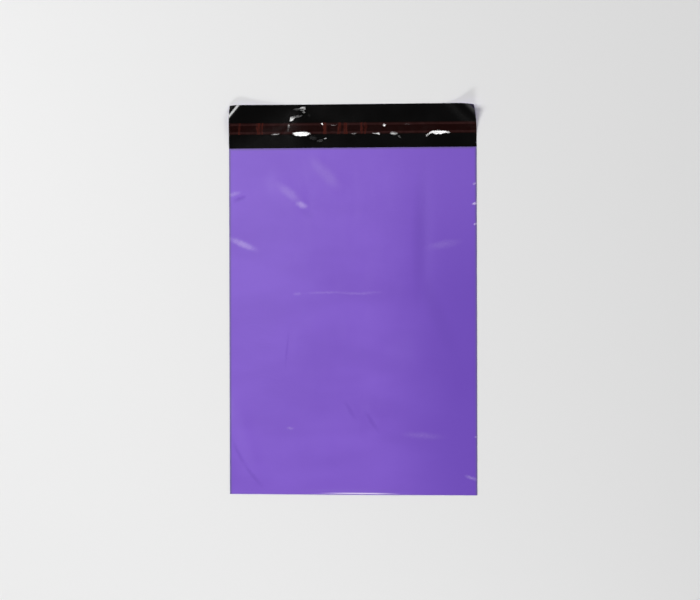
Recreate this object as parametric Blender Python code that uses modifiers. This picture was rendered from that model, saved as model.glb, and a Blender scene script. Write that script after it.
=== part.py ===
"""Poly mailer bag, empty, lying on its back with the flap open.

One web of film, coloured outside and black inside, is folded once at the bottom and welded
along both sides. The back panel runs on past the mouth as the flap. A band of hot-melt
adhesive crosses the black face of the flap, under a strip of release liner.

X runs across the bag, Y from the bottom fold to the flap, and Z up. The origin is on the
floor, at the middle of the bag's length and width.
"""
import math

import bmesh
import bpy
from mathutils import Vector

# Bag, in metres
BAG_WIDTH = 0.250
BAG_DEPTH = 0.350
FLAP_LENGTH = 0.044
FILM_THICKNESS = 0.00006

# Side welds: two layers of film fused by a hot knife, with a bead along the cut
WELD_WIDTH = 0.006
WELD_MELT = 0.00006
WELD_BEAD = 0.00005
WELD_MARGIN = 0.0005
LIP_SETBACK = 0.0002
FOLD_BITE = 0.75

# Space between the two panels, measured between their black faces
FOLD_GAP = 0.0010
BELLY_GAP = 0.0014
MOUTH_GAP = 0.0007
SIDE_RISE = 0.060
FOLD_RISE = 0.070
MOUTH_RISE = 0.110

# Adhesive and liner on the flap
ADHESIVE_WIDTH = 0.007
ADHESIVE_THICKNESS = 0.00005
LINER_WIDTH = 0.0115
LINER_THICKNESS = 0.00005
LINER_SETBACK = 0.014
SEAT_GAP = 0.00005

# Curl of the flap: each corner rolls up round a cylinder that lies across it, and the very
# corner on the left, the dog ear, is bent back down
LEFT_CURL_INBOARD = 0.080
LEFT_CURL_HEADING = math.radians(125.0)
LEFT_CURL_RADIUS = 0.130
RIGHT_CURL_INBOARD = 0.037
RIGHT_CURL_HEADING = math.radians(45.0)
RIGHT_CURL_RADIUS = 0.026
CURL_LIMIT = math.radians(75.0)
DOG_EAR_LEG = 0.015
DOG_EAR_HEADING = math.radians(135.0)
DOG_EAR_RADIUS = 0.005
DOG_EAR_LIMIT = math.radians(50.0)

# Facets
PANEL_COLUMNS = 34
SIDE_CROWDING = 0.15
FRONT_ROWS = 34
BACK_ROWS = 12
FOLD_SEGMENTS = 6
FLAP_BASE_ROWS = 4
ADHESIVE_ROWS = 2
FLAP_TIP_ROWS = 6

# Soft folds in the front panel: where each starts and ends, across the bag and up from
# the bottom fold, how high it stands (a hollow is below zero), and how wide it is
SOFT_FOLDS = (
    ((-0.079, 0.322), (-0.046, 0.299), 0.0009, 0.011),
    ((-0.037, 0.334), (-0.012, 0.316), 0.0006, 0.010),
    ((0.068, 0.325), (0.074, 0.200), -0.0008, 0.012),
    ((-0.060, 0.203), (0.030, 0.203), -0.0004, 0.010),
    ((-0.122, 0.256), (-0.096, 0.246), 0.0006, 0.009),
    ((-0.063, 0.165), (-0.070, 0.128), -0.0005, 0.010),
    ((-0.012, 0.096), (0.010, 0.068), -0.0007, 0.010),
    ((0.012, 0.094), (0.030, 0.066), -0.0006, 0.010),
    ((-0.116, 0.050), (-0.092, 0.010), -0.0006, 0.010),
    ((-0.062, 0.059), (-0.034, 0.034), -0.0006, 0.010),
    ((0.050, 0.062), (0.082, 0.056), 0.0006, 0.011),
    ((0.098, 0.150), (0.104, 0.060), 0.0006, 0.014),
)

# Buckles in the flap, where the film stands off the floor: the place of each, across the
# bag and along the flap from the mouth, its height and its width
FLAP_BUCKLES = (
    ((-0.051, 0.0180), 0.0026, 0.0110),
    ((-0.056, 0.0340), 0.0012, 0.0080),
    ((0.085, 0.0170), 0.0013, 0.0090),
)

PURPLE = (0.240, 0.112, 0.560, 1.0)
BLACK = (0.010, 0.010, 0.011, 1.0)
ADHESIVE_AMBER = (0.090, 0.045, 0.030, 1.0)
LINER_RED = (0.060, 0.012, 0.010, 1.0)


def smooth(share):
    """A rise from 0 to 1 that starts and ends level."""
    share = min(max(share, 0.0), 1.0)
    return share * share * (3.0 - 2.0 * share)


def soft_fold(x, y, start, end, height, width):
    """Height that one soft fold adds to the front panel at a place on it."""
    run_x = end[0] - start[0]
    run_y = end[1] - start[1]
    share = ((x - start[0]) * run_x + (y - start[1]) * run_y) / (run_x ** 2 + run_y ** 2)
    share = min(max(share, 0.0), 1.0)
    away = math.hypot(x - start[0] - share * run_x, y - start[1] - share * run_y)
    return height * math.exp(-(away / width) ** 2)


def panel_gap(x, y):
    """Space between the black faces of the two panels at a place on the bag."""
    open_half = BAG_WIDTH / 2 - WELD_WIDTH - WELD_MARGIN
    side = smooth((open_half - abs(x)) / SIDE_RISE)
    belly = smooth(y / FOLD_RISE) * smooth((BAG_DEPTH - y) / MOUTH_RISE)
    end_gap = FOLD_GAP if y < BAG_DEPTH / 2 else MOUTH_GAP
    rise = end_gap + (BELLY_GAP - end_gap) * belly
    for start, end, height, width in SOFT_FOLDS:
        rise += belly * soft_fold(x, y, start, end, height, width)
    return WELD_MELT + side * max(rise, 0.0)


def roll(point, foot, heading, radius, limit):
    """Roll what lies past a line on the floor round a cylinder on that line.

    The line runs through foot, square to heading. A radius below zero rolls down.
    """
    direction = Vector((math.cos(heading), math.sin(heading), 0.0))
    past_line = (point - foot).dot(direction)
    if past_line <= 0.0:
        return point
    angle = math.copysign(min(past_line / abs(radius), limit), radius)
    straight = past_line - radius * angle
    arm = radius - point.z
    forward = arm * math.sin(angle) + straight * math.cos(angle)
    height = radius - arm * math.cos(angle) + straight * math.sin(angle)
    return point + direction * (forward - past_line) + Vector((0.0, 0.0, height - point.z))


def flap_point(x, along, height):
    """A point on the flap, a distance along it from the mouth and a height above its outer face."""
    lift = 0.0
    for (buckle_x, buckle_along), buckle_height, width in FLAP_BUCKLES:
        away = math.hypot(x - buckle_x, along - buckle_along)
        lift += buckle_height * math.exp(-(away / width) ** 2)
    point = Vector((x, BAG_DEPTH + along, height + lift * smooth(along / LINER_SETBACK)))
    tip = BAG_DEPTH + FLAP_LENGTH
    ear_foot = Vector((DOG_EAR_LEG - BAG_WIDTH / 2, tip, 0.0))
    left_foot = Vector((LEFT_CURL_INBOARD - BAG_WIDTH / 2, tip, 0.0))
    right_foot = Vector((BAG_WIDTH / 2 - RIGHT_CURL_INBOARD, tip, 0.0))
    point = roll(point, ear_foot, DOG_EAR_HEADING, -DOG_EAR_RADIUS, DOG_EAR_LIMIT)
    point = roll(point, left_foot, LEFT_CURL_HEADING, LEFT_CURL_RADIUS, CURL_LIMIT)
    return roll(point, right_foot, RIGHT_CURL_HEADING, RIGHT_CURL_RADIUS, CURL_LIMIT)


def steps(first, last, count):
    """Evenly spaced values after first, up to and with last."""
    return [first + (last - first) * index / count for index in range(1, count + 1)]


def column_places():
    """Places of the columns of points across the bag, closer together towards its sides."""
    open_half = BAG_WIDTH / 2 - WELD_WIDTH - WELD_MARGIN
    welded = [BAG_WIDTH / 2 - WELD_WIDTH + WELD_MARGIN, BAG_WIDTH / 2]
    middle = []
    for index in range(PANEL_COLUMNS + 1):
        share = 2.0 * index / PANEL_COLUMNS - 1.0
        eased = (1.0 + SIDE_CROWDING) * share - SIDE_CROWDING * share ** 3
        middle.append(open_half * eased)
    return [-place for place in reversed(welded)] + middle + welded


def flap_rows():
    """Rows along the flap from the mouth, with one on each edge of the liner and the adhesive."""
    margin = (LINER_WIDTH - ADHESIVE_WIDTH) / 2
    liner_start = LINER_SETBACK
    adhesive_start = liner_start + margin
    adhesive_end = adhesive_start + ADHESIVE_WIDTH
    liner_end = liner_start + LINER_WIDTH
    base = steps(0.0, liner_start, FLAP_BASE_ROWS)
    adhesive = [adhesive_start] + steps(adhesive_start, adhesive_end, ADHESIVE_ROWS)
    tip = steps(liner_end, FLAP_LENGTH, FLAP_TIP_ROWS)
    return {"adhesive": adhesive, "liner": [liner_start] + adhesive + [liner_end],
            "all": base + adhesive + [liner_end] + tip}


def film_column(x):
    """One column of the film's middle surface, from the flap's tip round the bottom fold to the lip."""
    middle = FILM_THICKNESS / 2
    radius = (panel_gap(x, 0.0) + FILM_THICKNESS) / 2
    fold_y = radius + middle
    column = [flap_point(x, along, middle) for along in reversed(flap_rows()["all"])]
    column.append(Vector((x, BAG_DEPTH, middle)))
    column += [Vector((x, y, middle)) for y in steps(BAG_DEPTH, fold_y, BACK_ROWS)]
    for turn in steps(0.0, math.pi, FOLD_SEGMENTS):
        height = middle + radius - radius * math.cos(turn)
        column.append(Vector((x, fold_y - radius * math.sin(turn), height)))
    for y in steps(fold_y, BAG_DEPTH, FRONT_ROWS):
        column.append(Vector((x, y, FILM_THICKNESS + panel_gap(x, y) + middle)))
    return column


def material(name, colour, roughness):
    """A plain surface finish."""
    finish = bpy.data.materials.new(name)
    finish.use_nodes = True
    finish.diffuse_color = colour
    shader = finish.node_tree.nodes["Principled BSDF"]
    shader.inputs["Base Color"].default_value = colour
    shader.inputs["Metallic"].default_value = 0.0
    shader.inputs["Roughness"].default_value = roughness
    return finish


def sheet(name, columns, thickness, finishes, collection, flat=False):
    """A sheet of even thickness whose middle surface passes through columns of points.

    A curved sheet is split into triangles, all the same way, so that sheets laid on one
    another stay parallel.
    """
    spans = len(columns) - 1
    row_spans = len(columns[0]) - 1
    half_side = 0.5
    grid = bmesh.new()
    bmesh.ops.create_grid(grid, x_segments=spans, y_segments=row_spans, size=half_side)
    for vert in grid.verts:
        column = columns[round((vert.co.x + half_side) * spans)]
        vert.co = column[round((vert.co.y + half_side) * row_spans)]
    if not flat:
        bmesh.ops.triangulate(grid, faces=grid.faces, quad_method="FIXED")
    mesh = bpy.data.meshes.new(name)
    grid.to_mesh(mesh)
    grid.free()
    mesh.shade_smooth()
    for finish in finishes:
        mesh.materials.append(finish)
    piece = bpy.data.objects.new(name, mesh)
    collection.objects.link(piece)
    wall = piece.modifiers.new("wall", "SOLIDIFY")
    wall.thickness = thickness
    wall.offset = 0.0
    wall.use_even_offset = True
    wall.material_offset = len(finishes) - 1
    return piece


def weld(name, side, finish, collection):
    """The melt of one side weld, from the middle of one film to the middle of the other."""
    edges = sorted((side * (BAG_WIDTH / 2 - WELD_WIDTH), side * (BAG_WIDTH / 2 + WELD_BEAD)))
    thickness = FILM_THICKNESS + WELD_MELT
    middle = FILM_THICKNESS + WELD_MELT / 2
    film_rows = [thickness] + steps(thickness, BAG_DEPTH, FRONT_ROWS)
    between = [(2 * low + high) / 3 for low, high in zip(film_rows, film_rows[1:])]
    rows = [FILM_THICKNESS * FOLD_BITE] + between + [BAG_DEPTH - LIP_SETBACK]
    columns = [[Vector((x, y, middle)) for y in rows] for x in edges]
    melt = sheet(name, columns, thickness, [finish], collection, flat=True)
    melt.display_type = "WIRE"
    melt.hide_render = True
    return melt


def flap_strip(name, rows, height, thickness, finish, collection):
    """A strip across the flap, its lower face at a height above the flap's outer face."""
    middle = height + thickness / 2
    columns = [[flap_point(x, along, middle) for along in reversed(rows)] for x in column_places()]
    return sheet(name, columns, thickness, [finish], collection)


def build():
    """Model the bag in an empty scene."""
    for thing in list(bpy.data.objects):
        bpy.data.objects.remove(thing)
    bag = bpy.data.collections.new("poly_mailer_bag")
    tools = bpy.data.collections.new("weld_shapes")
    for collection in (bag, tools):
        bpy.context.scene.collection.children.link(collection)

    purple = material("purple_film", PURPLE, 0.38)
    black = material("black_film", BLACK, 0.30)
    amber = material("hot_melt", ADHESIVE_AMBER, 0.25)
    red = material("red_liner", LINER_RED, 0.22)

    film_columns = [film_column(x) for x in column_places()]
    film = sheet("bag_film", film_columns, FILM_THICKNESS, [purple, black], bag)
    shapes = [film]
    for name, side in (("left_weld", -1.0), ("right_weld", 1.0)):
        melt = weld(name, side, purple, tools)
        fuse = film.modifiers.new(name, "BOOLEAN")
        fuse.operation = "UNION"
        fuse.solver = "EXACT"
        fuse.object = melt
        shapes.append(melt)

    rows = flap_rows()
    adhesive_height = FILM_THICKNESS + SEAT_GAP
    liner_height = adhesive_height + ADHESIVE_THICKNESS + SEAT_GAP
    shapes.append(flap_strip("adhesive_strip", rows["adhesive"], adhesive_height,
                             ADHESIVE_THICKNESS, amber, bag))
    shapes.append(flap_strip("release_liner", rows["liner"], liner_height,
                             LINER_THICKNESS, red, bag))

    reach = max(point.y for column in film_columns for point in column)
    for shape in shapes:
        shape.location.y -= reach / 2


build()
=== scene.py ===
"""Looks of an empty poly mailer bag, lying on its back with the flap open, seen from above."""
import math

import bmesh
import bpy
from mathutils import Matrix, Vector, noise


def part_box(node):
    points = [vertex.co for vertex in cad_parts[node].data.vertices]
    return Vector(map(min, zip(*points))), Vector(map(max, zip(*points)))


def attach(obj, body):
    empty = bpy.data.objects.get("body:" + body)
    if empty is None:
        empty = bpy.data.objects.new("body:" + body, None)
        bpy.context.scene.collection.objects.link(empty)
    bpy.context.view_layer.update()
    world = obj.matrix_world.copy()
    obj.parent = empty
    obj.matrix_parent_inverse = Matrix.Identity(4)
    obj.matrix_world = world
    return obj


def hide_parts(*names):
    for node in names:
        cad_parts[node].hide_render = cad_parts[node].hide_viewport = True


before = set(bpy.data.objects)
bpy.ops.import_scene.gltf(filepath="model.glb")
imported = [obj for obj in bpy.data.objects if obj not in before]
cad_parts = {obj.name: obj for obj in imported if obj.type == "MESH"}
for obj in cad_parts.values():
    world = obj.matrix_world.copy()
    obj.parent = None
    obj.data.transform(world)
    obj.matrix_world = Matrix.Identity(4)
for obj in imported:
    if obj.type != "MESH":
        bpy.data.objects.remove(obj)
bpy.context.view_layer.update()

# Camera
# The photograph was taken from above and a little to the right, with a long lens.
camera = bpy.data.cameras.new("camera")
camera.lens = 76.0
camera.sensor_width = 36.0
camera_rig = bpy.data.objects.new("camera", camera)
camera_rig.location = (0.0921, 0.0038, 1.488)
camera_rig.rotation_euler = (math.radians(-0.177), math.radians(3.64), math.radians(-0.147))
bpy.context.scene.collection.objects.link(camera_rig)
bpy.context.scene.camera = camera_rig
bpy.context.scene.view_settings.view_transform = "Standard"

# Film
# One web of coextruded polyethylene, purple outside and black inside. It is folded at the
# bottom, welded along both sides with a hot knife, and runs on past the mouth as the flap.
film_low, film_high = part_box("bag_film")
HALF_WIDTH = film_high.x
FOLD_Y = film_low.y
BAG_DEPTH = 0.350
FLAP_LENGTH = film_high.y - FOLD_Y - BAG_DEPTH
FILM = 0.00006
WELD_WIDTH = 0.0060
WELD_MELT = 0.00006
WELD_WAVER = 0.0004
WAVER_SCALE = 90.0

# Space between the two panels at the bottom fold, in the belly and at the mouth, how far in
# from the sides and the ends it opens up, and the crumple of the front panel
FOLD_GAP = 0.0010
BELLY_GAP = 0.0014
MOUTH_GAP = 0.0007
SIDE_RISE = 0.095
FOLD_RISE = 0.070
MOUTH_RISE = 0.110
CRUMPLE = 0.00015
CRUMPLE_SCALE = 50.0

# Folds and creases of the front panel: where each starts and ends, in metres from the middle
# of the bag and up from its bottom fold, then its height (a hollow is below zero) and the
# widths of its side on the left of that way and of its side on the right
PANEL_FOLDS = (
    ((-0.0900, 0.3220), (-0.0440, 0.2870), 0.0006, 0.0120, 0.0080),
    ((-0.0540, 0.3390), (-0.0040, 0.3060), 0.0005, 0.0150, 0.0095),
    ((0.0670, 0.3600), (0.0740, 0.1700), -0.0006, 0.0090, 0.0110),
    ((0.0400, 0.1600), (0.1190, 0.0930), 0.0014, 0.0200, 0.0200),
    ((-0.0070, 0.0945), (0.0150, 0.0630), 0.0005, 0.0070, 0.0070),
    ((0.0090, 0.0980), (0.0350, 0.0590), 0.0005, 0.0070, 0.0070),
    ((-0.1250, 0.1100), (-0.0880, -0.0060), 0.0006, 0.0080, 0.0080),
)
# Each fold fades out over this share of its length, and all of them near the panel's edges
FOLD_ENDS = 0.35
SIDE_FADE = 0.004
END_FADE = 0.015

# The film rounds over where it turns at the bottom fold, most in the middle of the bag
TURN_RISE = 0.0006
TURN_PLACE = 0.0026
TURN_WIDTH = 0.0020
TURN_MIDDLE = 0.006
TURN_REACH = 0.056

# Low buckles of the flap: middle across and along it, height and radius
FLAP_BUCKLES = (
    (-0.0510, 0.0180, 0.0006, 0.0120),
    (-0.0560, 0.0340, 0.0004, 0.0090),
    (0.0850, 0.0170, 0.0006, 0.0110),
)

# Curl of the flap's corners: how far in from its corner each starts, the way that it heads,
# and its radius. The very corner on the left, the dog ear, is bent back down.
LEFT_CURL = (0.080, math.radians(125.0), 0.130)
RIGHT_CURL = (0.037, math.radians(45.0), 0.026)
DOG_EAR = (0.0155, math.radians(139.0), 0.009)
CURL_LIMIT = math.radians(75.0)
DOG_EAR_LIMIT = math.radians(50.0)


def smooth(share):
    """A rise from 0 to 1 that starts and ends level."""
    share = min(max(share, 0.0), 1.0)
    return share * share * (3.0 - 2.0 * share)


def fold_height(x, y, start, end, rise, left_width, right_width):
    """Height of one fold at a place, from how far the place is from the fold's line."""
    run_x = end[0] - start[0]
    run_y = end[1] - start[1]
    share = ((x - start[0]) * run_x + (y - start[1]) * run_y) / (run_x ** 2 + run_y ** 2)
    on_left = run_x * (y - start[1]) > run_y * (x - start[0])
    width = left_width if on_left else right_width
    away = math.hypot(x - start[0] - share * run_x, y - start[1] - share * run_y)
    fade = smooth(share / FOLD_ENDS) * smooth((1.0 - share) / FOLD_ENDS)
    return rise * fade * math.exp(-(away / width) ** 2)


def panel_gap(x, y):
    """Space between the two panels at a place on the bag."""
    noise_row = math.copysign(3.0, x)
    waver = noise.noise(Vector((noise_row, y * WAVER_SCALE, 0.0)))
    weld_edge = HALF_WIDTH - WELD_WIDTH + WELD_WAVER * waver
    side = smooth((weld_edge - abs(x)) / SIDE_RISE)
    belly = smooth(y / FOLD_RISE) * smooth((BAG_DEPTH - y) / MOUTH_RISE)
    end_gap = FOLD_GAP if y < BAG_DEPTH / 2 else MOUTH_GAP
    rise = end_gap + (BELLY_GAP - end_gap) * belly
    noise_place = Vector((x * CRUMPLE_SCALE, y * CRUMPLE_SCALE, 1.0))
    rise += CRUMPLE * noise.fractal(noise_place, 1.0, 2.0, 3)
    from_turn = ((y - TURN_PLACE) / TURN_WIDTH) ** 2 + ((x - TURN_MIDDLE) / TURN_REACH) ** 4
    turn = TURN_RISE * math.exp(-from_turn)
    fade = smooth((HALF_WIDTH - abs(x)) / SIDE_FADE) * smooth(min(y, BAG_DEPTH - y) / END_FADE)
    folds = sum(fold_height(x, y, *fold) for fold in PANEL_FOLDS)
    return WELD_MELT + max(side * (rise + turn) + fade * folds, 0.0)


def roll(point, foot, heading, radius, limit):
    """Roll what lies past a line on the floor round a cylinder on that line."""
    direction = Vector((math.cos(heading), math.sin(heading), 0.0))
    past_line = (point - foot).dot(direction)
    if past_line <= 0.0:
        return point
    angle = math.copysign(min(past_line / abs(radius), limit), radius)
    straight = past_line - radius * angle
    arm = radius - point.z
    forward = arm * math.sin(angle) + straight * math.cos(angle)
    height = radius - arm * math.cos(angle) + straight * math.sin(angle)
    return point + direction * (forward - past_line) + Vector((0.0, 0.0, height - point.z))


def buckles_height(x, along):
    """Height of the flap's buckles at one place."""
    return sum(height * math.exp(-((x - middle_x) ** 2 + (along - middle_along) ** 2) / radius ** 2)
               for middle_x, middle_along, height, radius in FLAP_BUCKLES)


def flap_point(x, along, height):
    """A point on the flap, a distance along it from the mouth and a height above its outer face."""
    point = Vector((x, BAG_DEPTH + along, height + buckles_height(x, along)))
    tip = BAG_DEPTH + FLAP_LENGTH
    ear_foot = Vector((DOG_EAR[0] - HALF_WIDTH, tip, 0.0))
    left_foot = Vector((LEFT_CURL[0] - HALF_WIDTH, tip, 0.0))
    right_foot = Vector((HALF_WIDTH - RIGHT_CURL[0], tip, 0.0))
    point = roll(point, ear_foot, DOG_EAR[1], -DOG_EAR[2], DOG_EAR_LIMIT)
    point = roll(point, left_foot, LEFT_CURL[1], LEFT_CURL[2], CURL_LIMIT)
    point = roll(point, right_foot, RIGHT_CURL[1], RIGHT_CURL[2], CURL_LIMIT)
    return point + Vector((0.0, FOLD_Y, 0.0))


def steps(first, last, count):
    """Evenly spaced values after first, up to and with last."""
    return [first + (last - first) * index / count for index in range(1, count + 1)]


def sheet(name, columns, thickness, finishes):
    """A sheet of even thickness whose middle surface passes through columns of points."""
    spans = len(columns) - 1
    row_spans = len(columns[0]) - 1
    half_side = 0.5
    grid = bmesh.new()
    grid.loops.layers.uv.new("film")
    bmesh.ops.create_grid(grid, x_segments=spans, y_segments=row_spans,
                          size=half_side, calc_uvs=True)
    for vert in grid.verts:
        column = columns[round((vert.co.x + half_side) * spans)]
        vert.co = column[round((vert.co.y + half_side) * row_spans)]
    mesh = bpy.data.meshes.new(name)
    grid.to_mesh(mesh)
    grid.free()
    mesh.shade_smooth()
    for finish in finishes:
        mesh.materials.append(finish)
    piece = bpy.data.objects.new(name, mesh)
    bpy.context.scene.collection.objects.link(piece)
    wall = piece.modifiers.new("wall", "SOLIDIFY")
    wall.thickness = thickness
    wall.offset = 0.0
    wall.material_offset = len(finishes) - 1
    piece.modifiers.new("shading", "WEIGHTED_NORMAL")
    return piece


BACK_ROWS = 10
TURN_ROWS = 8


def front_rows(fold_y):
    """Rows up the front panel, closer together where the film turns and where it is creased."""
    turn_end, plain_end, creased_end = 0.008, 0.230, 0.325
    return (steps(fold_y, turn_end, 14) + steps(turn_end, plain_end, 44)
            + steps(plain_end, creased_end, 34) + steps(creased_end, BAG_DEPTH, 6))


def film_column(x):
    """One column of the film's middle surface, from the flap's tip round the fold to the lip."""
    middle = FILM / 2
    radius = (panel_gap(x, 0.0) + FILM) / 2
    fold_y = radius + middle
    column = [flap_point(x, along, middle) for along in reversed(flap_rows)]
    column.append(Vector((x, FOLD_Y + BAG_DEPTH, middle)))
    column += [Vector((x, FOLD_Y + y, middle)) for y in steps(BAG_DEPTH, fold_y, BACK_ROWS)]
    for turn in steps(0.0, math.pi, TURN_ROWS):
        height = middle + radius - radius * math.cos(turn)
        column.append(Vector((x, FOLD_Y + fold_y - radius * math.sin(turn), height)))
    for y in front_rows(fold_y):
        column.append(Vector((x, FOLD_Y + y, FILM + panel_gap(x, y) + middle)))
    return column


def join(tree, socket, value):
    """Link an output to a socket, or set the socket's value."""
    if isinstance(value, bpy.types.NodeSocket):
        tree.links.new(value, socket)
    else:
        socket.default_value = value


def add_node(tree, kind, values, **settings):
    """A node with its settings, and what goes into its sockets."""
    new_node = tree.nodes.new(kind)
    for name, value in settings.items():
        setattr(new_node, name, value)
    for key, value in values.items():
        join(tree, new_node.inputs[key], value)
    return new_node


def calculate(tree, operation, *values):
    """The result of one step of arithmetic."""
    inputs = dict(enumerate(values))
    return add_node(tree, "ShaderNodeMath", inputs, operation=operation).outputs["Value"]


def ease(tree, value, low, high, to_low, to_high):
    """A value carried from one range to another, with soft ends."""
    limits = {"Value": value, "From Min": low, "From Max": high,
              "To Min": to_low, "To Max": to_high}
    carried = add_node(tree, "ShaderNodeMapRange", limits, interpolation_type="SMOOTHSTEP")
    return carried.outputs["Result"]


def blend(tree, share, first, second):
    """A colour between two colours."""
    mix = add_node(tree, "ShaderNodeMix", {"Factor": share}, data_type="RGBA")
    first_socket, second_socket = [socket for socket in mix.inputs if socket.type == "RGBA"]
    join(tree, first_socket, first)
    join(tree, second_socket, second)
    return next(socket for socket in mix.outputs if socket.type == "RGBA")


def film_surface_group():
    """Mottling, grain and fine crinkles, which all the thin films of the bag have."""
    group = bpy.data.node_groups.new("film_surface", "ShaderNodeTree")
    group.interface.new_socket("Place", in_out="INPUT", socket_type="NodeSocketVector")
    for name in ("Mottle Scale", "Grain Scale", "Crinkle Scale"):
        group.interface.new_socket(name, in_out="INPUT", socket_type="NodeSocketFloat")
    for name in ("Mottle", "Grain", "Crinkle"):
        group.interface.new_socket(name, in_out="OUTPUT", socket_type="NodeSocketFloat")
    given = group.nodes.new("NodeGroupInput").outputs
    made = group.nodes.new("NodeGroupOutput").inputs
    for name, detail in (("Mottle", 2.0), ("Grain", 4.0)):
        values = {"Vector": given["Place"], "Scale": given[name + " Scale"], "Detail": detail}
        pattern = add_node(group, "ShaderNodeTexNoise", values)
        group.links.new(pattern.outputs["Fac"], made[name])
    values = {"Vector": given["Place"], "Scale": given["Crinkle Scale"],
              "Detail": 3.0, "Distortion": 0.6}
    swell = add_node(group, "ShaderNodeTexNoise", values).outputs["Fac"]
    fold = calculate(group, "ABSOLUTE", calculate(group, "SUBTRACT", swell, 0.5))
    group.links.new(calculate(group, "MULTIPLY", fold, 2.0), made["Crinkle"])
    return group


def oval(tree, place, middle_x, middle_y, half_length, half_width, turn, core):
    """A share that is 1 on the core of an oval spot and eases to 0 at its rim."""
    spot = {"Vector": place, "Location": (middle_x, middle_y, 0.0),
            "Rotation": (0.0, 0.0, math.radians(turn)), "Scale": (half_length, half_width, 1.0)}
    local = add_node(tree, "ShaderNodeMapping", spot, vector_type="TEXTURE").outputs["Vector"]
    reach = add_node(tree, "ShaderNodeVectorMath", {0: local}, operation="LENGTH").outputs["Value"]
    rim = 1.2
    return ease(tree, reach, core, rim, 1.0, 0.0)


def on_vectors(tree, operation, values):
    """The result of one step of arithmetic on vectors."""
    return add_node(tree, "ShaderNodeVectorMath", values, operation=operation).outputs["Vector"]


def uneven_place(tree, place):
    """Places moved about a little, so that spots read there come out with uneven rims."""
    jitter_scale, jitter_reach = 420.0, 0.0030
    values = {"Vector": place, "Scale": jitter_scale, "Detail": 3.0}
    jitter = add_node(tree, "ShaderNodeTexNoise", values).outputs["Color"]
    from_middle = on_vectors(tree, "SUBTRACT", {0: jitter, 1: (0.5, 0.5, 0.5)})
    move = on_vectors(tree, "SCALE", {0: from_middle, "Scale": jitter_reach})
    return on_vectors(tree, "ADD", {0: place, 1: move})


def tilted_normal(tree, place, facets, up_from, core):
    """The surface's normal, tilted on oval facets, by their mean tilt where they overlap."""
    tilt = (0.0, 0.0, 0.0)
    shares = 0.0
    for middle_x, middle_y, half_length, half_width, turn, tilt_x, tilt_y in facets:
        share = oval(tree, place, middle_x, up_from + middle_y, half_length, half_width, turn, core)
        part = on_vectors(tree, "SCALE", {0: (tilt_x, tilt_y, 0.0), "Scale": share})
        tilt = on_vectors(tree, "ADD", {0: tilt, 1: part})
        shares = calculate(tree, "ADD", shares, share)
    even_out = calculate(tree, "DIVIDE", 1.0, calculate(tree, "MAXIMUM", shares, 1.0))
    tilt = on_vectors(tree, "SCALE", {0: tilt, "Scale": even_out})
    turned = add_node(tree, "ShaderNodeVectorTransform", {"Vector": tilt}, vector_type="VECTOR",
                      convert_from="OBJECT", convert_to="WORLD").outputs["Vector"]
    level = tree.nodes.new("ShaderNodeNewGeometry").outputs["Normal"]
    return on_vectors(tree, "NORMALIZE", {0: on_vectors(tree, "ADD", {0: level, 1: turned})})


def flap_facets_group():
    """The normal of the flap's upper face, with the facets of its buckles."""
    group = bpy.data.node_groups.new("flap_facets", "ShaderNodeTree")
    group.interface.new_socket("Place", in_out="INPUT", socket_type="NodeSocketVector")
    group.interface.new_socket("Normal", in_out="OUTPUT", socket_type="NodeSocketVector")
    place = uneven_place(group, group.nodes.new("NodeGroupInput").outputs["Place"])
    made = group.nodes.new("NodeGroupOutput").inputs["Normal"]
    normal = tilted_normal(group, place, FLAP_FACETS, FOLD_Y + BAG_DEPTH, FLAP_CORE)
    group.links.new(normal, made)
    return group


def plastic(name, colour, roughness, specular):
    """A plastic finish, and its tree and shader for the pattern that is added."""
    finish = bpy.data.materials.new(name)
    finish.use_nodes = True
    tree = finish.node_tree
    shader = tree.nodes["Principled BSDF"]
    shader.inputs["Base Color"].default_value = colour
    shader.inputs["Roughness"].default_value = roughness
    shader.inputs["Specular IOR Level"].default_value = specular
    return finish, tree, shader


def film_surface(tree, mottle, grain, crinkle, stretch=(1.0, 1.0, 1.0)):
    """The shared film pattern, at its own scales, and the place it is read at."""
    place = tree.nodes.new("ShaderNodeTexCoord").outputs["Object"]
    mapping = {"Vector": place, "Scale": stretch}
    stretched_place_or_highlight = add_node(tree, "ShaderNodeMapping", mapping).outputs["Vector"]
    values = {"Place": stretched_place_or_highlight, "Mottle Scale": mottle,
              "Grain Scale": grain, "Crinkle Scale": crinkle}
    pattern = tree.nodes.new("ShaderNodeGroup")
    pattern.node_tree = film_pattern
    for key, value in values.items():
        join(tree, pattern.inputs[key], value)
    return pattern.outputs, add_node(tree, "ShaderNodeSeparateXYZ", {"Vector": place}).outputs


def emboss(tree, shader, height, depth, normal=None):
    """Bumps of a depth in metres, on the surface's own normal or on a given one."""
    bump = add_node(tree, "ShaderNodeBump", {"Height": height, "Distance": depth, "Strength": 1.0})
    if normal is not None:
        tree.links.new(normal, bump.inputs["Normal"])
    tree.links.new(bump.outputs["Normal"], shader.inputs["Normal"])


def flap_normal(tree):
    """The shared normal of the flap, read at this piece's own places."""
    facets = tree.nodes.new("ShaderNodeGroup")
    facets.node_tree = flap_facets
    join(tree, facets.inputs["Place"], tree.nodes.new("ShaderNodeTexCoord").outputs["Object"])
    return facets.outputs["Normal"]


# The share of a spot's radius over which it is whole
FLAP_CORE = 0.6
PANEL_CORE = 0.1
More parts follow.
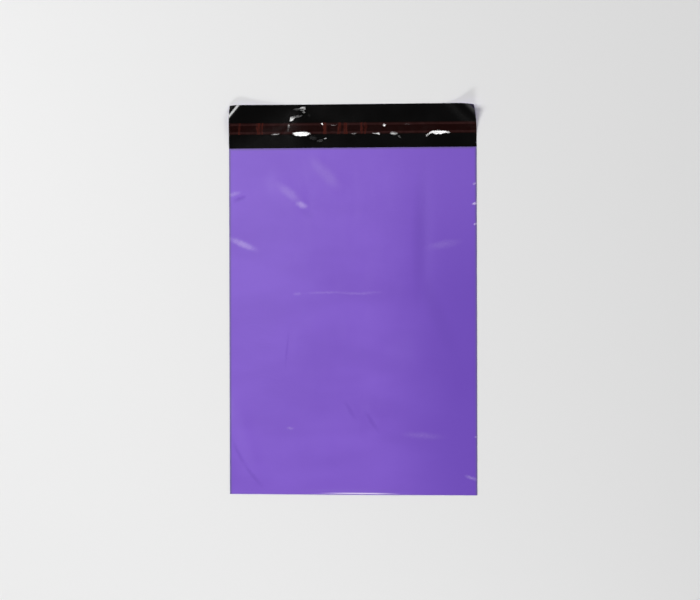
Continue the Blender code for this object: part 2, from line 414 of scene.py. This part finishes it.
# Facets, where the film is tilted too sharply for the mesh: middle across the bag, middle up
# it from the mouth or the bottom fold, half length, half width, turn in degrees, and tilt
# across and up the bag
FLAP_FACETS = (
    (-0.0514, 0.0146, 0.0118, 0.0034, 0.0, 0.10, -0.60),
    (-0.0395, 0.0100, 0.0052, 0.0030, 0.0, 0.09, -0.48),
    (-0.0608, 0.0296, 0.0042, 0.0026, 50.0, 0.08, -0.60),
    (-0.0556, 0.0318, 0.0070, 0.0020, 12.0, 0.08, -0.56),
    (-0.0503, 0.0397, 0.0050, 0.0024, 8.0, 0.11, -0.61),
    (-0.0565, 0.0393, 0.0046, 0.0015, 0.0, 0.10, -0.55),
    (-0.0487, 0.0362, 0.0022, 0.0018, 0.0, 0.10, -0.60),
    (-0.0433, 0.0328, 0.0020, 0.0026, 0.0, 0.09, -0.50),
    (-0.0644, 0.0212, 0.0060, 0.0009, 80.0, 0.11, -0.56),
    (-0.0774, 0.0144, 0.0068, 0.0015, 8.0, 0.12, -0.52),
    (-0.0303, 0.0243, 0.0022, 0.0010, -50.0, 0.08, -0.62),
    (-0.0189, 0.0233, 0.0036, 0.0014, 0.0, 0.07, -0.46),
    (0.0022, 0.0145, 0.0034, 0.0014, 0.0, 0.06, -0.52),
    (0.0267, 0.0142, 0.0020, 0.0016, 20.0, 0.04, -0.60),
    (0.0225, 0.0146, 0.0044, 0.0012, 0.0, 0.04, -0.52),
    (0.0326, 0.0228, 0.0020, 0.0017, 0.0, 0.03, -0.63),
    (0.0419, 0.0143, 0.0052, 0.0030, -6.0, 0.03, -0.55),
    (0.0478, 0.0107, 0.0028, 0.0012, -25.0, 0.02, -0.53),
    (0.0862, 0.0150, 0.0098, 0.0027, 1.0, -0.01, -0.61),
    (0.0770, 0.0128, 0.0044, 0.0012, 35.0, 0.00, -0.56),
    (0.0962, 0.0150, 0.0030, 0.0014, -10.0, -0.02, -0.56),
    (-0.0273, 0.0094, 0.0015, 0.0012, 0.0, 0.08, -0.57),
    (-0.0324, 0.0074, 0.0046, 0.0019, 10.0, 0.08, -0.51),
    (0.0554, 0.0238, 0.0026, 0.0011, 0.0, 0.01, -0.47),
)
PANEL_FACETS = (
    (-0.0514, 0.2928, 0.0076, 0.0040, -25.0, -0.20, 0.00),
    (-0.0650, 0.3050, 0.0150, 0.0050, -38.0, -0.05, 0.00),
    (-0.0340, 0.3300, 0.0110, 0.0050, -45.0, -0.04, 0.00),
    (-0.0180, 0.3160, 0.0100, 0.0045, -50.0, -0.04, 0.00),
    (-0.1111, 0.2533, 0.0165, 0.0046, -24.0, -0.15, 0.05),
    (-0.1200, 0.3040, 0.0080, 0.0028, 15.0, -0.07, 0.00),
    (-0.1140, 0.3000, 0.0080, 0.0024, 20.0, 0.12, 0.00),
    (-0.0270, 0.2040, 0.0240, 0.0015, 1.0, -0.06, -0.02),
    (0.0030, 0.2030, 0.0200, 0.0014, -2.0, -0.06, -0.02),
    (0.0170, 0.2038, 0.0160, 0.0014, 3.0, -0.05, -0.02),
    (-0.0550, 0.2028, 0.0044, 0.0016, 0.0, -0.06, 0.00),
    (0.1230, 0.3130, 0.0022, 0.0012, 8.0, -0.22, 0.05),
    (0.1228, 0.2928, 0.0036, 0.0016, 12.0, -0.34, 0.05),
    (0.1236, 0.2725, 0.0020, 0.0012, 8.0, -0.28, 0.05),
    (0.1236, 0.0583, 0.0020, 0.0012, 0.0, -0.24, 0.05),
    (0.1190, 0.0174, 0.0074, 0.0020, -20.0, -0.20, 0.05),
    (-0.1086, 0.0296, 0.0280, 0.0022, -56.0, 0.10, 0.00),
    (-0.0666, 0.1460, 0.0220, 0.0014, 84.0, 0.08, 0.00),
    (-0.0028, 0.0853, 0.0120, 0.0028, -58.0, 0.09, 0.00),
    (0.0194, 0.0735, 0.0140, 0.0028, -56.0, 0.11, 0.00),
    (0.0700, 0.0600, 0.0200, 0.0034, -4.0, -0.06, -0.02),
    (0.0916, 0.2520, 0.0190, 0.0040, 10.0, -0.05, 0.00),
    (-0.0635, 0.0670, 0.0044, 0.0018, 0.0, -0.08, 0.00),
)
# Painted highlights on spots of the ridges where the film is stretched, and painted shade in its
# creases: middle, half length, half width, turn in degrees, and how far the colour goes
HIGHLIGHT_PLACES = (
    (-0.0514, 0.2928, 0.0072, 0.0038, -25.0, 0.15),
    (-0.0640, 0.3050, 0.0180, 0.0058, -38.0, 0.08),
    (-0.0270, 0.3240, 0.0230, 0.0078, -47.0, 0.06),
    (-0.1111, 0.2530, 0.0165, 0.0038, -24.0, 0.13),
    (-0.1200, 0.3040, 0.0080, 0.0026, 15.0, 0.09),
    (-0.0270, 0.2040, 0.0240, 0.0015, 1.0, 0.06),
    (0.0030, 0.2030, 0.0200, 0.0014, -2.0, 0.07),
    (0.0170, 0.2038, 0.0160, 0.0014, 3.0, 0.05),
    (-0.0560, 0.2028, 0.0044, 0.0020, 0.0, 0.09),
    (0.1230, 0.3130, 0.0022, 0.0012, 8.0, 0.25),
    (0.1230, 0.2928, 0.0032, 0.0018, 12.0, 0.45),
    (0.1236, 0.2725, 0.0020, 0.0012, 8.0, 0.30),
    (0.1236, 0.0583, 0.0020, 0.0012, 0.0, 0.25),
    (0.1190, 0.0174, 0.0080, 0.0020, -20.0, 0.14),
    (0.0700, 0.0600, 0.0230, 0.0040, -4.0, 0.05),
    (0.0916, 0.2520, 0.0200, 0.0050, 10.0, 0.05),
    (-0.0635, 0.0670, 0.0044, 0.0018, 0.0, 0.09),
)
CREASE_SHADE_PLACES = (
    (0.0685, 0.2620, 0.0760, 0.0095, 88.0, 0.24),
    (0.0850, 0.1830, 0.0520, 0.0110, -67.0, 0.18),
    (-0.1167, 0.0423, 0.0180, 0.0026, -66.0, 0.22),
    (-0.1015, 0.0185, 0.0180, 0.0026, -49.0, 0.24),
    (-0.0666, 0.1460, 0.0220, 0.0014, 84.0, 0.16),
    (-0.0028, 0.0853, 0.0120, 0.0028, -58.0, 0.16),
    (0.0194, 0.0735, 0.0140, 0.0028, -56.0, 0.18),
    (-0.1145, 0.2985, 0.0085, 0.0028, 20.0, 0.24),
    (-0.0450, 0.2830, 0.0090, 0.0050, -30.0, 0.10),
)
flap_facets = flap_facets_group()
film_pattern = film_surface_group()

# Purple face: gauge bands across the bag, a slight grain and glossier side welds. Painted light on
# it: painted shade towards the right side, a painted brighter band towards the mouth, painted shade
# and sheen on a greyer line along the cut edges and the lip, painted shade in creases, and painted
# highlights on stretched spots and along the bottom fold. The spots are the front panel's own: the
# back's places are moved off the bag before they are read.
PURPLE = (0.165, 0.066, 0.540, 1.0)
PURPLE_DEEP = (0.206, 0.091, 0.592, 1.0)
PURPLE_PALE = (0.230, 0.106, 0.645, 1.0)
# Painted light: painted shade on the right side, a painted brighter band towards the mouth, painted
# shade and sheen on the edges, painted shade in creases, and painted highlights
PURPLE_SHADE_RIGHT = (0.166, 0.070, 0.535, 1.0)
PURPLE_LIT_TOP = (0.252, 0.122, 0.680, 1.0)
PURPLE_EDGE_SHADE_SHEEN = (0.150, 0.100, 0.350, 1.0)
PURPLE_CREASE_SHADE = (0.120, 0.046, 0.420, 1.0)
PURPLE_HIGHLIGHT = (0.900, 0.800, 1.000, 1.0)
# Where each line starts or ends to fade, in metres from the cut, the mouth and the fold
CUT_LINE, CUT_LINE_END = 0.0006, 0.0026
MOUTH_LINE, MOUTH_LINE_END = 0.0004, 0.0026
MOUTH_EDGE = 0.0005
FOLD_LINE_FOOT = (0.0008, 0.0014)
FOLD_LINE_HEAD = (0.0015, 0.0024)
FOLD_LINE_REACH = (0.008, 0.044)
WELD_GLOSS = 0.04
purple, tree, shader = plastic("purple_film", PURPLE, roughness=0.46, specular=0.50)
pattern, place = film_surface(tree, mottle=9.0, grain=700.0, crinkle=60.0, stretch=(1.0, 2.6, 1.0))

from_middle = calculate(tree, "ABSOLUTE", place["X"])
weld_line = HALF_WIDTH - WELD_WIDTH
welded = ease(tree, from_middle, weld_line - WELD_WAVER, weld_line + WELD_WAVER, 0.0, 1.0)
# Painted shade and sheen: a greyer line along the cut edges and, on the front, along the lip
at_side = ease(tree, from_middle, HALF_WIDTH - CUT_LINE_END, HALF_WIDTH - CUT_LINE, 0.0, 1.0)
mouth_y = FOLD_Y + BAG_DEPTH
on_front = calculate(tree, "MULTIPLY", ease(tree, place["Z"], FILM, 2 * FILM, 0.0, 1.0),
                     ease(tree, place["Y"], mouth_y, mouth_y + MOUTH_EDGE, 1.0, 0.0))
from_mouth = calculate(tree, "ABSOLUTE", calculate(tree, "SUBTRACT", place["Y"], mouth_y))
mouth_line = ease(tree, from_mouth, MOUTH_LINE, MOUTH_LINE_END, 0.9, 0.0)
edge_shade_sheen = calculate(tree, "MAXIMUM", at_side, calculate(tree, "MULTIPLY", on_front, mouth_line))

# Painted highlight along the bottom fold, strongest in the middle of the bag
above_fold = calculate(tree, "SUBTRACT", place["Y"], FOLD_Y)
across_line = calculate(tree, "MULTIPLY", ease(tree, above_fold, *FOLD_LINE_FOOT, 0.0, 1.0),
                        ease(tree, above_fold, *FOLD_LINE_HEAD, 1.0, 0.0))
along_line = calculate(tree, "ABSOLUTE", calculate(tree, "SUBTRACT", place["X"], TURN_MIDDLE))
line_end = ease(tree, along_line, *FOLD_LINE_REACH, 1.0, 0.0)
stretched_place_or_highlight = calculate(tree, "MULTIPLY", across_line, line_end)
crease_shade = 0.0
object_place = tree.nodes.new("ShaderNodeTexCoord").outputs["Object"]
off_front = calculate(tree, "SUBTRACT", 1.0, on_front)
off_bag = add_node(tree, "ShaderNodeCombineXYZ", {"X": off_front}).outputs["Vector"]
spots = uneven_place(tree, on_vectors(tree, "ADD", {0: object_place, 1: off_bag}))
broken = ease(tree, pattern["Grain"], 0.36, 0.64, 0.35, 1.30)
# Painted highlights on the stretched ridges, broken up by the grain
for middle_x, middle_y, half_length, half_width, turn, highlight_strength in HIGHLIGHT_PLACES:
    spot = (middle_x, FOLD_Y + middle_y, half_length, half_width, turn, PANEL_CORE)
    strength = calculate(tree, "MULTIPLY", broken, highlight_strength)
    share = calculate(tree, "MULTIPLY", oval(tree, spots, *spot), strength)
    stretched_place_or_highlight = calculate(tree, "MAXIMUM", stretched_place_or_highlight, share)
# Painted shade in the creases
for middle_x, middle_y, half_length, half_width, turn, depth in CREASE_SHADE_PLACES:
    spot = (middle_x, FOLD_Y + middle_y, half_length, half_width, turn, PANEL_CORE)
    share = calculate(tree, "MULTIPLY", oval(tree, spots, *spot), depth)
    crease_shade = calculate(tree, "MAXIMUM", crease_shade, share)

tone = ease(tree, pattern["Mottle"], 0.30, 0.70, 0.0, 1.0)
# Painted shade, darker towards the right side of the bag
shade_to_right = ease(tree, place["X"], 0.010, 0.115, 0.0, 0.95)
# Painted light: a brighter band towards the mouth, weaker on the left
light_to_mouth = calculate(tree, "MULTIPLY", ease(tree, place["Y"], -0.010, 0.140, 0.0, 0.50),
                     ease(tree, place["X"], -0.120, -0.030, 0.3, 1.0))
panel_colour = blend(tree, tone, PURPLE_DEEP, PURPLE_PALE)
panel_colour = blend(tree, shade_to_right, panel_colour, PURPLE_SHADE_RIGHT)
panel_colour = blend(tree, light_to_mouth, panel_colour, PURPLE_LIT_TOP)
panel_colour = blend(tree, crease_shade, panel_colour, PURPLE_CREASE_SHADE)
panel_colour = blend(tree, edge_shade_sheen, panel_colour, PURPLE_EDGE_SHADE_SHEEN)
panel_colour = blend(tree, stretched_place_or_highlight, panel_colour, PURPLE_HIGHLIGHT)
join(tree, shader.inputs["Base Color"], panel_colour)
matt = ease(tree, pattern["Grain"], 0.30, 0.70, 0.42, 0.50)
gloss = calculate(tree, "MULTIPLY", welded, WELD_GLOSS)
join(tree, shader.inputs["Roughness"], calculate(tree, "SUBTRACT", matt, gloss))
grain_relief = calculate(tree, "MULTIPLY", pattern["Grain"], 0.05)
relief = calculate(tree, "ADD", pattern["Crinkle"], grain_relief)
panel_normal = tilted_normal(tree, spots, PANEL_FACETS, FOLD_Y, PANEL_CORE)
emboss(tree, shader, relief, depth=0.0001, normal=panel_normal)

# Black face: smoother and glossier, faintly clouded where slip agent has come out
BLACK = (0.0012, 0.0011, 0.0010, 1.0)
BLACK_DEEP = (0.0006, 0.0005, 0.0004, 1.0)
BLACK_CLOUD = (0.0016, 0.0014, 0.0015, 1.0)
black, tree, shader = plastic("black_film", BLACK, roughness=0.15, specular=0.7)
pattern, place = film_surface(tree, mottle=26.0, grain=900.0, crinkle=45.0)
join(tree, shader.inputs["Base Color"], blend(tree, pattern["Mottle"], BLACK_DEEP, BLACK_CLOUD))
join(tree, shader.inputs["Roughness"], ease(tree, pattern["Mottle"], 0.30, 0.70, 0.14, 0.18))
emboss(tree, shader, pattern["Crinkle"], depth=0.00008, normal=flap_normal(tree))

# Places of the liner and the adhesive along the flap, and the rows and columns of the mesh
LINER_SETBACK = 0.014
LINER_WIDTH = 0.0115
ADHESIVE_WIDTH = 0.007
COLUMNS = 260
FOOT_ROWS = 20
MARGIN_ROWS = 4
ADHESIVE_ROWS = 12
TIP_ROWS = 26
adhesive_start = LINER_SETBACK + (LINER_WIDTH - ADHESIVE_WIDTH) / 2
adhesive_end = adhesive_start + ADHESIVE_WIDTH
liner_end = LINER_SETBACK + LINER_WIDTH
adhesive_rows = [adhesive_start] + steps(adhesive_start, adhesive_end, ADHESIVE_ROWS)
lower_margin = [LINER_SETBACK] + steps(LINER_SETBACK, adhesive_start, MARGIN_ROWS)
upper_margin = steps(adhesive_end, liner_end, MARGIN_ROWS)
liner_rows = lower_margin + adhesive_rows[1:] + upper_margin
tip_rows = steps(liner_end, FLAP_LENGTH, TIP_ROWS)
flap_rows = steps(0.0, LINER_SETBACK, FOOT_ROWS) + liner_rows[1:] + tip_rows
column_places = [-HALF_WIDTH] + steps(-HALF_WIDTH, HALF_WIDTH, COLUMNS)

film = sheet("bag_film_skin", [film_column(x) for x in column_places], FILM, [purple, black])
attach(film, "root")
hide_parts("bag_film")

# Adhesive
# A thin band of clear hot melt, laid hot across the flap's black face. It holds the liner
# until the bag is sealed, and then the flap.
SEAT_GAP = 0.00003
ADHESIVE = 0.00005
AMBER = (0.02, 0.004, 0.003, 1.0)
AMBER_THIN = (0.014, 0.003, 0.002, 1.0)
AMBER_THICK = (0.050, 0.014, 0.006, 1.0)
amber, tree, shader = plastic("hot_melt", AMBER, roughness=0.25, specular=0.3)
pattern, place = film_surface(tree, mottle=60.0, grain=500.0, crinkle=90.0)
join(tree, shader.inputs["Base Color"], blend(tree, pattern["Mottle"], AMBER_THIN, AMBER_THICK))
join(tree, shader.inputs["Roughness"], ease(tree, pattern["Grain"], 0.30, 0.70, 0.20, 0.32))
emboss(tree, shader, pattern["Crinkle"], depth=0.0002)
adhesive_middle = FILM + SEAT_GAP + ADHESIVE / 2
adhesive_columns = [[flap_point(x, along, adhesive_middle) for along in reversed(adhesive_rows)]
                    for x in column_places]
adhesive = sheet("adhesive_band", adhesive_columns, ADHESIVE, [amber])
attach(adhesive, "root")
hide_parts("adhesive_strip")

# Liner
# A strip of thin, dark red see-through film over the adhesive, held by it alone. Its margins
# lie on nothing and look paler, and so do a few places where it has come off the adhesive.
LINER = 0.00005
# Where the liner has come off, across the bag, and half the width of each place
LIFTED_PLACES = (
    (-0.1142, 0.0009), (-0.0948, 0.0018), (-0.0912, 0.0010), (-0.0276, 0.0018),
    (-0.0130, 0.0017), (-0.0068, 0.0020), (0.0098, 0.0012), (0.0134, 0.0012),
)
RAGGED_REACH = 0.004
LINER_WETTED = (0.0090, 0.0006, 0.0003, 1.0)
LINER_MARGIN = (0.0300, 0.0090, 0.0085, 1.0)
LINER_LIFTED = (0.0570, 0.0090, 0.0055, 1.0)
red, tree, shader = plastic("red_liner", LINER_WETTED, roughness=0.16, specular=0.7)
pattern, place = film_surface(tree, mottle=160.0, grain=900.0, crinkle=70.0)
streaks, place = film_surface(tree, mottle=500.0, grain=900.0, crinkle=70.0,
                              stretch=(1.0, 0.12, 0.12))
up_band = add_node(tree, "ShaderNodeUVMap", {}, uv_map="film").outputs["UV"]
share_up = add_node(tree, "ShaderNodeSeparateXYZ", {"Vector": up_band}).outputs["Y"]
# In shares of the liner's width, the adhesive ends at 0.30 from its centre line
from_centre = calculate(tree, "ABSOLUTE", calculate(tree, "SUBTRACT", share_up, 0.5))
on_margin = ease(tree, from_centre, 0.24, 0.31, 0.0, 1.0)
rim_fade = ease(tree, from_centre, 0.36, 0.50, 1.0, 0.15)
patchy = ease(tree, pattern["Mottle"], 0.25, 0.65, 0.6, 1.0)
margin_share = calculate(tree, "MULTIPLY", calculate(tree, "MULTIPLY", on_margin, rim_fade), patchy)
uneven = calculate(tree, "SUBTRACT", pattern["Mottle"], 0.5)
ragged = calculate(tree, "MULTIPLY", uneven, RAGGED_REACH)
ragged_x = calculate(tree, "ADD", place["X"], ragged)
lifted = 0.0
for middle_x, half_width in LIFTED_PLACES:
    from_place = calculate(tree, "ABSOLUTE", calculate(tree, "SUBTRACT", ragged_x, middle_x))
    here = ease(tree, from_place, 0.6 * half_width, 1.3 * half_width, 1.0, 0.0)
    lifted = calculate(tree, "MAXIMUM", lifted, here)
streaky = ease(tree, streaks["Mottle"], 0.36, 0.60, 0.35, 1.0)
lifted_share = calculate(tree, "MULTIPLY", lifted, streaky)
banded = blend(tree, margin_share, LINER_WETTED, LINER_MARGIN)
join(tree, shader.inputs["Base Color"], blend(tree, lifted_share, banded, LINER_LIFTED))
join(tree, shader.inputs["Roughness"], ease(tree, pattern["Mottle"], 0.30, 0.70, 0.14, 0.18))
relief = calculate(tree, "ADD", pattern["Crinkle"], calculate(tree, "MULTIPLY", on_margin, 0.5))
emboss(tree, shader, relief, depth=0.0001, normal=flap_normal(tree))

liner_middle = FILM + 2 * SEAT_GAP + ADHESIVE + LINER / 2
liner_columns = [[flap_point(x, along, liner_middle) for along in reversed(liner_rows)]
                 for x in column_places]
liner = sheet("liner_strip", liner_columns, LINER, [red])
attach(liner, "root")
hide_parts("release_liner")

# Floor and lights
# A pale, matt disc in a room that is dark overhead and pale near the horizon. A strip light
# stands at the foot of the bag, low enough to glint on the buckles of the flap, a brighter
# one up on the left, and a weak one on the right.
FLOOR_RADIUS = 1.4
FLOOR_DROP = 0.0002
PALE = (0.86, 0.86, 0.86, 1.0)
bpy.ops.mesh.primitive_circle_add(vertices=128, radius=FLOOR_RADIUS, fill_type="NGON",
                                  location=(0.0, 0.0, -FLOOR_DROP))
floor = bpy.context.active_object
floor.name = "floor"
pale, tree, shader = plastic("pale_floor", PALE, roughness=0.9, specular=0.1)
floor.data.materials.append(pale)


def soft_light(name, place, width, height, power):
    """A flat light that faces the bag."""
    lamp = bpy.data.lights.new(name, "AREA")
    lamp.shape = "RECTANGLE"
    lamp.size = width
    lamp.size_y = height
    lamp.energy = power
    rig = bpy.data.objects.new(name, lamp)
    rig.location = place
    rig.rotation_euler = (-Vector(place)).to_track_quat("-Z", "Y").to_euler()
    bpy.context.scene.collection.objects.link(rig)


soft_light("key", (0.05, -1.30, 0.92), width=0.54, height=0.16, power=8.8)
soft_light("left_fill", (-0.95, 0.36, 1.37), width=0.7, height=0.7, power=18.7)
soft_light("right_fill", (1.40, 0.80, 1.25), width=1.0, height=1.0, power=11.2)
HORIZON_GLOW, OVERHEAD_GLOW = 0.75, 0.03
world = bpy.data.worlds.new("studio")
world.use_nodes = True
backdrop = world.node_tree.nodes["Background"]
backdrop.inputs["Color"].default_value = (1.0, 1.0, 1.0, 1.0)
direction = world.node_tree.nodes.new("ShaderNodeTexCoord").outputs["Generated"]
elevation = add_node(world.node_tree, "ShaderNodeSeparateXYZ", {"Vector": direction}).outputs["Z"]
glow = ease(world.node_tree, elevation, 0.02, 0.42, HORIZON_GLOW, OVERHEAD_GLOW)
join(world.node_tree, backdrop.inputs["Strength"], glow)
bpy.context.scene.world = world
